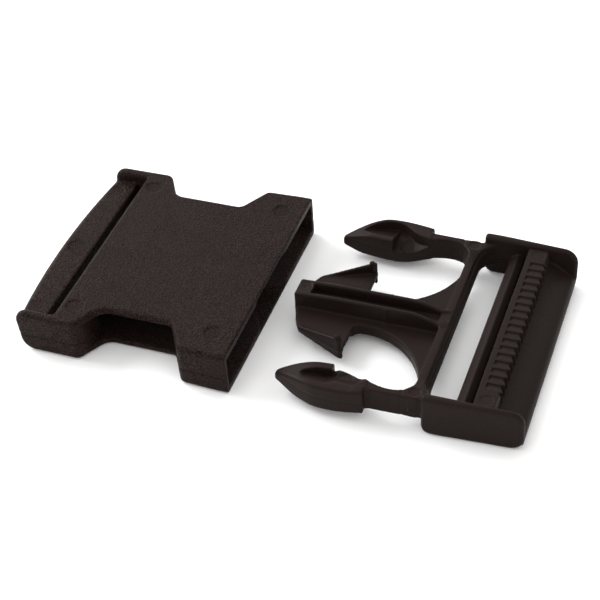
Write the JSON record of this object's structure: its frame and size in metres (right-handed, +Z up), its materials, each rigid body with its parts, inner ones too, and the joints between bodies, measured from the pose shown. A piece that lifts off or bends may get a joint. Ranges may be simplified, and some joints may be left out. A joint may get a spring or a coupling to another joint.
{
  "type": "side-release buckle",
  "caption": "Unfastened side-release webbing buckle: hollow socket half with finger windows, and plug half with guide tongue, sprung prongs and toothed webbing adjuster.",
  "frame": {"origin": "centre of the bounding box at the height of the surface both halves lie on", "axes": "+X from the socket half to the plug half, along which the plug is pushed home; +Y across the webbing to the far prong; +Z up"},
  "size_m": [0.1186, 0.0584, 0.011],
  "materials": {
    "grained_plastic": "fine spark-eroded grain",
    "smooth_plastic": "satin"
  },
  "bodies": {
    "socket": {"socket_shell": "grained_plastic", "socket_webbing_bar": "smooth_plastic"},
    "plug": {"plug_frame": "smooth_plastic", "adjuster_bar": "smooth_plastic", "gripping_bar": "smooth_plastic", "guide_tongue": "smooth_plastic"},
    "near prong": {"near_prong": "smooth_plastic"},
    "far prong": {"far_prong": "smooth_plastic"}
  },
  "joints": [
    {"name": "plug_slide", "type": "slide", "parent": "socket", "child": "plug", "axis": [1, 0, 0], "range_m": [-0.0428, 0], "deforming": ["near_prong", "far_prong"]},
    {"name": "near_prong_flex", "type": "hinge", "parent": "plug", "child": "near prong", "pos_m": [0.03295, -0.02555, 0.0055], "axis": [0, 0, -1], "range_deg": [0, 12], "stiffness_Nm_per_rad": 2.4},
    {"name": "far_prong_flex", "type": "hinge", "parent": "plug", "child": "far prong", "pos_m": [0.03295, 0.02555, 0.0055], "axis": [0, 0, 1], "range_deg": [0, 12], "stiffness_Nm_per_rad": 2.4}
  ]
}
